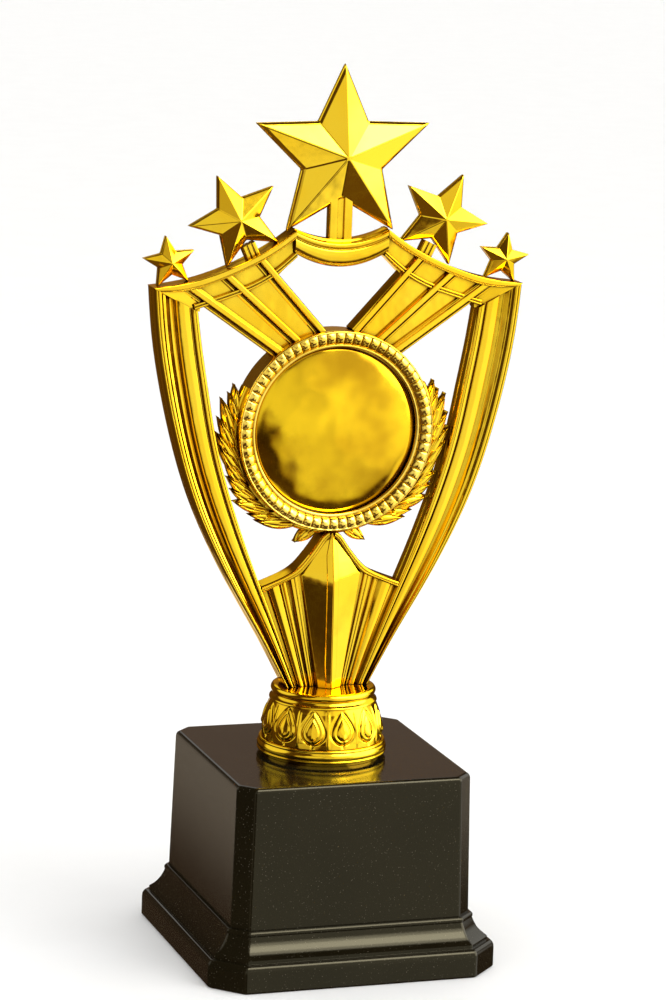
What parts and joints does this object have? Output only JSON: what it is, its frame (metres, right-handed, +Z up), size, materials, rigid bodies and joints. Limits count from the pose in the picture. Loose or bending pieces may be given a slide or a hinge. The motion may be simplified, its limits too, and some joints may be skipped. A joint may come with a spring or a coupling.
{
  "type": "star trophy",
  "caption": "Gold half-shell star trophy figure with domed medallion, laurel sprays and fluted arms, clamped by a centre bolt through a round collar on a black stepped plinth",
  "frame": {"origin": "middle of the underside of the plinth, on the surface it stands on", "axes": "+Z up the trophy, front of the figure faces -Y, +X to the right seen from the front"},
  "size_m": [0.0956, 0.0714, 0.213],
  "materials": {
    "gold_plated": "vacuum-metallised plastic, bright yellow gold",
    "gold_medal": "pressed metallised dome, bright yellow gold, slightly uneven",
    "black_plinth": "moulded black plastic, glossy top, satin sides with fine specks",
    "board": "pressed board",
    "felt": "black felt",
    "ballast": "cast plaster block",
    "steel": "zinc-plated steel"
  },
  "bodies": {
    "base": {"ballast_block": "ballast", "bottom_cover": "board", "clamp_washer": "steel", "felt_sheet": "felt", "foot_screws": "steel", "plinth_box": "black_plinth", "plinth_foot": "black_plinth"},
    "figure": {"arm_left_back": "gold_plated", "arm_left_front": "gold_plated", "arm_right_back": "gold_plated", "arm_right_front": "gold_plated", "bead_ring_back": "gold_plated", "bead_ring_front": "gold_plated", "big_star_back": "gold_plated", "big_star_front": "gold_plated", "big_star_post_back": "gold_plated", "big_star_post_front": "gold_plated", "brace_left_back": "gold_plated", "brace_left_front": "gold_plated", "brace_right_back": "gold_plated", "brace_right_front": "gold_plated", "clamp_bolt": "steel", "clamp_nut": "steel", "collar": "gold_plated", "fan_back": "gold_plated", "fan_front": "gold_plated", "laurel_left_back": "gold_plated", "laurel_left_front": "gold_plated", "laurel_right_back": "gold_plated", "laurel_right_front": "gold_plated", "medal_dome_back": "gold_medal", "medal_dome_front": "gold_medal", "medium_star_left_back": "gold_plated", "medium_star_left_front": "gold_plated", "medium_star_post_left_back": "gold_plated", "medium_star_post_left_front": "gold_plated", "medium_star_post_right_back": "gold_plated", "medium_star_post_right_front": "gold_plated", "medium_star_right_back": "gold_plated", "medium_star_right_front": "gold_plated", "small_star_left_back": "gold_plated", "small_star_left_front": "gold_plated", "small_star_right_back": "gold_plated", "small_star_right_front": "gold_plated", "swag_back": "gold_plated", "swag_front": "gold_plated", "top_rail_left_back": "gold_plated", "top_rail_left_front": "gold_plated", "top_rail_right_back": "gold_plated", "top_rail_right_front": "gold_plated"}
  },
  "joints": [
    {"name": "figure_swivel", "type": "hinge", "parent": "base", "child": "figure", "pos_m": [0, 0, 0.0476], "axis": [0, 0, 1], "continuous": true}
  ]
}
